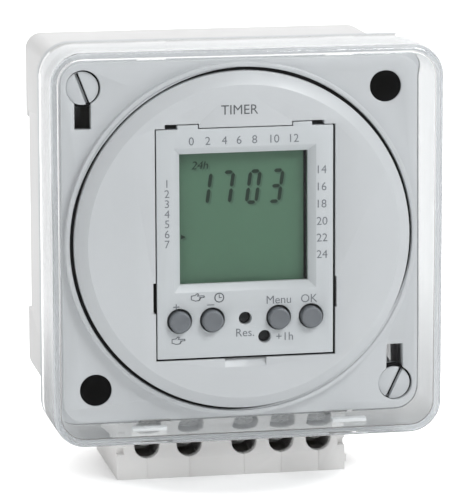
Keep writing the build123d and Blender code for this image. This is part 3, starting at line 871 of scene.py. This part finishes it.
legends = {
    "inkHeight": 0.02,
    "rows": [                # words, middle x, middle z, height of a capital
        ("0", -9.88, 18.87, 1.5), ("2", -6.85, 18.87, 1.5), ("4", -3.8, 18.87, 1.5),
        ("6", -1.1, 18.87, 1.5), ("8", 1.76, 18.87, 1.5), ("10", 5.47, 18.87, 1.5),
        ("12", 9.1, 18.87, 1.5),
        ("14", 14.25, 12.95, 1.5), ("16", 14.25, 9.79, 1.5), ("18", 14.25, 6.62, 1.5),
        ("20", 14.25, 3.43, 1.5), ("22", 14.25, 0.36, 1.5), ("24", 14.25, -2.71, 1.5),
        ("1", -14.4, 11.27, 1.45), ("2", -14.4, 9.42, 1.45), ("3", -14.4, 7.57, 1.45),
        ("4", -14.4, 5.72, 1.45), ("5", -14.4, 3.87, 1.45), ("6", -14.4, 2.02, 1.45),
        ("7", -14.4, 0.17, 1.45),
        ("+", -12.82, -11.45, 1.7), ("\u2013", -6.48, -11.3, 1.7),
        ("Menu", 6.18, -10.81, 1.5), ("OK", 11.85, -10.8, 1.5),
        ("Res.", -0.1, -16.67, 1.5), ("+1h", 7.25, -17.69, 1.5),
    ],
    "mark": ("TIMER", -0.98, 24.38, 1.75),
    "hands": [(-8.82, -9.85), (-12.43, -17.73)],
    "clock": (-4.87, -10.01),
    "signStroke": 0.17,
    "clockRadius": 0.82,
    "clockStroke": 0.19,
    "clockHands": (0.5, 0.4),
}
wordShape = {"extrude": 0.5, "capital": 0.7, "steps": 4}


# Adds flat words to a mesh, facing forwards, centred on a place and drawn to a height.
def addWords(builder, words, x, z, height, depth, thickness, slant=0.0):
    curve = bpy.data.curves.new("words", "FONT")
    curve.body = words
    curve.shear = slant
    curve.extrude = wordShape["extrude"]
    curve.resolution_u = wordShape["steps"]
    holder = bpy.data.objects.new("words", curve)
    bpy.context.scene.collection.objects.link(holder)
    bpy.context.view_layer.update()
    shown = holder.evaluated_get(bpy.context.evaluated_depsgraph_get())
    mesh = bpy.data.meshes.new_from_object(shown)
    xs = [vertex.co.x for vertex in mesh.vertices]
    ys = [vertex.co.y for vertex in mesh.vertices]
    size = height * mm / wordShape["capital"]
    middleX = (min(xs) + max(xs)) / 2
    middleY = (min(ys) + max(ys)) / 2
    for vertex in mesh.vertices:
        across, upwards, out = vertex.co
        vertex.co = Vector((x * mm + (across - middleX) * size,
                            depth - (out + wordShape["extrude"]) * thickness * mm,
                            z * mm + (upwards - middleY) * size))
    builder.from_mesh(mesh)
    bpy.data.objects.remove(holder)
    bpy.data.curves.remove(curve)
    bpy.data.meshes.remove(mesh)


# A flat bar of constant width along a line of points (x, z), for print and for painted shade.
def addStroke(builder, points, width, depth, thickness, closed=False):
    places = [Vector((px, pz)) * mm for px, pz in points]
    count = len(places)
    spans = count if closed else count - 1
    for index in range(spans):
        start, end = places[index], places[(index + 1) % count]
        along = (end - start).normalized()
        side = Vector((-along.y, along.x)) * width * mm / 2
        reach = along * width * mm / 2
        corners = (start - reach + side, end + reach + side, end + reach - side,
                   start - reach - side)
        addPlate(builder, corners, depth, thickness)


def addPlate(builder, corners, depth, thickness):
    back = [builder.verts.new((c.x, depth, c.y)) for c in corners]
    front = [builder.verts.new((c.x, depth - thickness * mm, c.y)) for c in corners]
    builder.faces.new(back)
    builder.faces.new(front)
    bridge(builder, back, front)


handOutline = [(-1.2, -0.35), (-1.2, 0.3), (-0.5, 0.42), (-0.1, 0.75), (0.12, 0.62), (-0.05, 0.3),
               (1.1, 0.28), (1.2, 0.12), (1.1, 0.0), (0.35, -0.02), (0.5, -0.16), (0.3, -0.3),
               (0.38, -0.44), (0.15, -0.55), (-0.45, -0.62)]


def addHand(builder, x, z, depth, thickness):
    points = [(x + px, z + pz) for px, pz in handOutline]
    addStroke(builder, points, legends["signStroke"], depth, thickness, closed=True)


def addClock(builder, x, z, depth, thickness):
    radius = legends["clockRadius"]
    up, right = legends["clockHands"]
    angles = [math.radians(degrees) for degrees in range(0, 360, 20)]
    ring = [(x + radius * math.cos(angle), z + radius * math.sin(angle)) for angle in angles]
    addStroke(builder, ring, legends["clockStroke"], depth, thickness, closed=True)
    addStroke(builder, [(x, z + up), (x, z), (x + right, z)], legends["signStroke"], depth,
              thickness)


def finishPrint(builder, name, node, material):
    bmesh.ops.recalc_face_normals(builder, faces=builder.faces)
    detailOn(objectFrom(name, builder), node, material)


def makeLegends():
    thickness = legends["inkHeight"]
    builder = bmesh.new()
    for words, x, z, height in legends["rows"]:
        addWords(builder, words, x, z, height, discFace, thickness)
    for x, z in legends["hands"]:
        addHand(builder, x, z, discFace, thickness)
    addClock(builder, *legends["clock"], discFace, thickness)
    finishPrint(builder, "moduleLegends", "module_bezel", ink)
    words, x, z, height = legends["mark"]
    builder = bmesh.new()
    addWords(builder, words, x, z, height, discFace, thickness)
    finishPrint(builder, "discMark", "dial_disc", markInk)


figures = {
    "rightEdges": {"1": -5.4, "7": -1.27, "0": 3.68, "3": 7.92},
    "top": 12.94,
    "bottom": 6.58,
    "width": 2.42,
    "stroke": 0.66,
    "gap": 0.1,
    "slant": 0.14,
    "shadeShift": (0.32, -0.34),
    "shadeGap": 0.01,       # in front of the cell
    "inkGap": 0.05,
    "inkHeight": 0.01,
    "hourSign": ("24h", -7.86, 14.07, 1.5),
    "signSlant": 0.2,
    "pointer": ((-11.42, 1.38), (-10.49, 0.95), (-11.42, 0.52)),
}
lit = {"1": "bc", "7": "abc", "0": "abcdef", "3": "abgcd"}


# One bar of a figure, with pointed ends, from its own place in an upright unit figure.
def barCorners(letter, width, height, stroke, gap):
    half = stroke / 2
    left, right, low, middle, top = half, width - half, half, height / 2, height - half
    ends = {
        "a": ((left, top), (right, top)), "g": ((left, middle), (right, middle)),
        "d": ((left, low), (right, low)), "b": ((right, middle), (right, top)),
        "c": ((right, low), (right, middle)), "e": ((left, low), (left, middle)),
        "f": ((left, middle), (left, top)),
    }[letter]
    start, end = Vector(ends[0]), Vector(ends[1])
    along = (end - start).normalized()
    side = Vector((-along.y, along.x)) * half
    start = start + along * gap
    end = end - along * gap
    inward = along * half
    return [start, start + inward + side, end - inward + side, end, end - inward - side,
            start + inward - side]


def addFigure(builder, figure, rightEdge, shift, depth):
    height = figures["top"] - figures["bottom"]
    slant = figures["slant"]
    left = rightEdge - figures["width"] - slant * height
    for letter in lit[figure]:
        corners = []
        for corner in barCorners(letter, figures["width"], height, figures["stroke"],
                                 figures["gap"]):
            corners.append(Vector((left + corner.x + slant * corner.y + shift[0],
                                   figures["bottom"] + corner.y + shift[1])) * mm)
        addPlate(builder, corners, depth, figures["inkHeight"])


def makeFigures():
    thickness = figures["inkHeight"]
    words, x, z, size = figures["hourSign"]
    for name, shift, gap, material in (
            ("displayShade", figures["shadeShift"], figures["shadeGap"], segmentShade),
            ("displayFigures", (0, 0), figures["inkGap"], segmentInk)):
        builder = bmesh.new()
        depth = cellFront - gap * mm
        for figure, edge in figures["rightEdges"].items():
            addFigure(builder, figure, edge, shift, depth)
        addWords(builder, words, x + shift[0], z + shift[1], size, depth, thickness,
                 figures["signSlant"])
        pointer = [Vector((px + shift[0], pz + shift[1])) * mm for px, pz in figures["pointer"]]
        addPlate(builder, pointer, depth, thickness)
        finishPrint(builder, name, "lcd_glass", material)


# Painted shade along the display's right side and its top, behind the pane, where the window's
# walls shade the cell.
displayEdgeShade = {
    "lap": 0.6,             # how far the pane laps under the bezel
    "right": 0.55,
    "top": 0.16,
    "gap": 0.06,            # in front of the cell
    "thickness": 0.01,
}


def makeDisplayEdge():
    lap = displayEdgeShade["lap"] * mm
    left, right = paneLow.x + lap, paneHigh.x - lap
    low, high = paneLow.z + lap, paneHigh.z - lap
    strip = displayEdgeShade["right"] * mm
    builder = bmesh.new()
    depth = cellFront - displayEdgeShade["gap"] * mm
    front = depth - displayEdgeShade["thickness"] * mm
    for lowX, highX, lowZ, highZ in ((right - strip, right, low, high),
                                     (left, right - strip, high - displayEdgeShade["top"] * mm, high)):
        addBox(builder, (lowX, front, lowZ), (highX, depth, highZ))
    finishPrint(builder, "displayEdgeShade", "lcd_glass", paintedShadeBlack)


makeLegends()
makeFigures()
makeDisplayEdge()
makeClampShade()
print("legends and figures made")


# Rail latch grip and spring, by rule.

gripPiece = {
    "ribs": 6,
    "pitch": 1.05,
    "width": 10.4,
    "thickness": 0.5,
    "rise": 0.34,
    "firstZ": -34.6,
    "edge": 0.12,
}


def newTree(name, inputs):
    tree = bpy.data.node_groups.new(name, "GeometryNodeTree")
    tree.interface.new_socket("Geometry", in_out="OUTPUT", socket_type="NodeSocketGeometry")
    identifiers = {}
    for label, kind in inputs.items():
        made = tree.interface.new_socket(label, in_out="INPUT", socket_type=kind)
        identifiers[label] = made.identifier
    given = tree.nodes.new("NodeGroupInput")
    result = tree.nodes.new("NodeGroupOutput")
    return tree, given, result, identifiers


# Ends a tree with real geometry and its material.
def endTree(tree, result, geometry, material):
    real = addNode(tree, "GeometryNodeRealizeInstances", {0: geometry})
    finish = addNode(tree, "GeometryNodeSetMaterial", {
        "Geometry": real.outputs[0], "Material": material})
    tree.links.new(finish.outputs[0], result.inputs[0])


def grown(name, tree, identifiers, values, material):
    mesh = bpy.data.meshes.new(name)
    made = bpy.data.objects.new(name, mesh)
    bpy.context.scene.collection.objects.link(made)
    nodesModifier = made.modifiers.new("grow", "NODES")
    nodesModifier.node_group = tree
    for label, value in values.items():
        nodesModifier[identifiers[label]] = value
    bakedModifiers(made)
    wear(made, material)
    return made


def combine(tree, x, y, z):
    return addNode(tree, "ShaderNodeCombineXYZ", {0: x, 1: y, 2: z}).outputs[0]


def makeGrip():
    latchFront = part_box("din_latch")[0].y
    tree, given, result, names = newTree("gripRibs", {
        "Ribs": "NodeSocketInt", "Pitch": "NodeSocketFloat", "Width": "NodeSocketFloat",
        "Thickness": "NodeSocketFloat", "Rise": "NodeSocketFloat"})
    size = combine(tree, given.outputs["Width"], given.outputs["Rise"], given.outputs["Thickness"])
    bar = addNode(tree, "GeometryNodeMeshCube", {"Size": size})
    down = maths(tree, "MULTIPLY", given.outputs["Pitch"], -1)
    line = addNode(tree, "GeometryNodeMeshLine", {
        "Count": given.outputs["Ribs"], "Offset": combine(tree, 0, 0, down),
        "Start Location": (0, latchFront, gripPiece["firstZ"] * mm)}, mode="OFFSET")
    copies = addNode(tree, "GeometryNodeInstanceOnPoints", {
        "Points": line.outputs[0], "Instance": bar.outputs["Mesh"]})
    endTree(tree, result, copies.outputs[0], finishes["latch_grey"])
    ribs = grown("latchGripRibs", tree, names, {
        "Ribs": gripPiece["ribs"], "Pitch": gripPiece["pitch"] * mm,
        "Width": gripPiece["width"] * mm, "Thickness": gripPiece["thickness"] * mm,
        "Rise": 2 * gripPiece["rise"] * mm}, finishes["latch_grey"])
    bevelled(ribs, gripPiece["edge"])
    detailOn(ribs, "din_latch", finishes["latch_grey"])


springPiece = {
    "turns": 6.0,
    "wire": 0.21,
    "radius": 1.1,
    "stepsPerTurn": 28,
    "wireSides": 12,
}


def makeSpring():
    low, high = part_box("latch_spring")
    tree, given, result, names = newTree("coilSpring", {
        "Turns": "NodeSocketFloat", "Wire": "NodeSocketFloat", "Radius": "NodeSocketFloat",
        "Length": "NodeSocketFloat"})
    spiral = addNode(tree, "GeometryNodeCurveSpiral", {
        "Resolution": springPiece["stepsPerTurn"], "Rotations": given.outputs["Turns"],
        "Start Radius": given.outputs["Radius"], "End Radius": given.outputs["Radius"],
        "Height": given.outputs["Length"]})
    wire = addNode(tree, "GeometryNodeCurvePrimitiveCircle", {
        "Resolution": springPiece["wireSides"], "Radius": given.outputs["Wire"]})
    sweep = addNode(tree, "GeometryNodeCurveToMesh", {
        "Curve": spiral.outputs[0], "Profile Curve": wire.outputs[0], "Fill Caps": True})
    middle = (low + high) / 2
    margin = springPiece["wire"] * mm
    moved = addNode(tree, "GeometryNodeTransform", {
        "Geometry": sweep.outputs[0], "Translation": (middle.x, middle.y, low.z + margin)})
    endTree(tree, result, moved.outputs[0], finishes["spring_steel"])
    coil = grown("latchSpringCoil", tree, names, {
        "Turns": springPiece["turns"], "Wire": springPiece["wire"] * mm,
        "Radius": springPiece["radius"] * mm, "Length": high.z - low.z - 2 * margin},
        finishes["spring_steel"])
    smoothByAngle(coil, 50)
    standsFor(coil, "latch_spring")
    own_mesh(coil)


makeGrip()
makeSpring()
print("latch grip and spring made")


# Nodes that stay as they are, with their finishes.

for node, thing in nodes.items():
    wear(thing, finishes[slotOf(node)])


# Floor and lights.

floorSheet = {
    "halfWidth": 1.5,
    "near": -1.2,
    "bend": (0.35, 0.3, 8),         # where it starts, its radius and its steps
    "top": 1.6,
    "paper": ((0.93, 0.93, 0.93), (0.95, 0.95, 0.95)),
    "foot": (0, -0.027),            # middle of the object's foot
    # The glow is weaker near the foot: painted shade under the object.
    "glow": (0.1, 0.7, 0.022, 0.036),       # least, most and their distances from the foot
    "mirrored": (1.0, 0.3, -0.08, 0.12),    # dimming in front, behind and their places
    "thrown": 0.22,
    "dim": (0.1, 0.1, 0.1, 1),
}


# In reflections the paper looks dim in front, as a floor in the camera's shade would, and it
# throws back less light than it shows.
def dimInReflections(tree, surface, coords):
    rays = tree.nodes.new("ShaderNodeLightPath")
    parts = addNode(tree, "ShaderNodeSeparateXYZ", {0: coords})
    nearness = spread(tree, parts.outputs[1], *floorSheet["mirrored"])
    first = maths(tree, "LESS_THAN", rays.outputs["Glossy Depth"], 1.5)
    glossy = maths(tree, "MULTIPLY", rays.outputs["Is Glossy Ray"], first)
    mirrored = maths(tree, "MULTIPLY", glossy, nearness)
    thrown = maths(tree, "MULTIPLY", rays.outputs["Is Diffuse Ray"], floorSheet["thrown"])
    dim = addNode(tree, "ShaderNodeBsdfDiffuse", {0: floorSheet["dim"]})
    return mixed(tree, maths(tree, "MAXIMUM", mirrored, thrown), surface, dim.outputs[0])


# The paper is clear from behind, so that the object can be looked at from there too.
def clearFromBehind(tree, surface):
    geometry = tree.nodes.new("ShaderNodeNewGeometry")
    clear = tree.nodes.new("ShaderNodeBsdfTransparent")
    return mixed(tree, geometry.outputs["Backfacing"], surface, clear.outputs[0])


def floorPaper(floorZ):
    material, tree, shader, coords = shaderTree("floorPaper")
    # The paper glows to stay white, but less round the object's foot: painted shade under it.
    away = addNode(tree, "ShaderNodeVectorMath", {0: coords, 1: (*floorSheet["foot"], floorZ)},
                   operation="DISTANCE")
    feed(tree, shader, {
        "Base Color": colourBetween(tree, noise(tree, coords, 30, 2), *floorSheet["paper"]),
        "Roughness": 0.9,
        "Emission Color": (1, 1, 1, 1),
        "Emission Strength": spread(tree, away.outputs["Value"], *floorSheet["glow"])})
    dimmed = dimInReflections(tree, shader.outputs[0], coords)
    showInstead(tree, clearFromBehind(tree, dimmed))
    return material


# A flat sheet that bends up behind the object.
def makeStage():
    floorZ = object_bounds()[0][2]
    start, radius, steps = floorSheet["bend"]
    profile = [(floorSheet["near"], 0), (start, 0)]
    for step in range(1, steps + 1):
        angle = math.radians(90 * step / steps)
        profile.append((start + radius * math.sin(angle), radius * (1 - math.cos(angle))))
    profile.append((start + radius, floorSheet["top"]))
    half = floorSheet["halfWidth"]
    builder = bmesh.new()
    rows = [[builder.verts.new((x, y, floorZ + z)) for x in (-half, half)] for y, z in profile]
    for row, following in zip(rows, rows[1:]):
        builder.faces.new((row[0], row[1], following[1], following[0]))
    floor = smoothByAngle(objectFrom("floorSweep", builder), 60)
    floor.data.materials.append(floorPaper(floorZ))


lamps = {
    "keyBox": {"place": (0.55, -0.75, 0.85), "size": 0.5, "power": 10.0},
    "fillBox": {"place": (-0.9, -0.9, 0.35), "size": 0.9, "power": 1.6},
    "topBox": {"place": (0.0, 0.1, 1.1), "size": 0.9, "power": 1.8},
}
lampAim = (0, -0.03, 0)
roomLight = (0.14, 0.52, -0.95, 0.1)    # in front, behind, and where along Y each starts


def makeLights():
    for name, lamp in lamps.items():
        data = bpy.data.lights.new(name, "AREA")
        data.size = lamp["size"]
        data.energy = lamp["power"]
        light = bpy.data.objects.new(name, data)
        bpy.context.scene.collection.objects.link(light)
        place = Vector(lamp["place"])
        turn = (Vector(lampAim) - place).to_track_quat("-Z", "Y").to_matrix().to_4x4()
        light.matrix_world = Matrix.Translation(place) @ turn
    makeWorld()


# The room: dimmer behind the camera, brighter above, behind and to the sides.
def makeWorld():
    world = bpy.data.worlds.new("studio")
    world.use_nodes = True
    tree = world.node_tree
    background = tree.nodes["Background"]
    coords = tree.nodes.new("ShaderNodeTexCoord")
    parts = addNode(tree, "ShaderNodeSeparateXYZ", {0: coords.outputs["Generated"]})
    feed(tree, background, {0: (1, 1, 1, 1), 1: spread(tree, parts.outputs[1], *roomLight)})
    bpy.context.scene.world = world


makeStage()
makeLights()
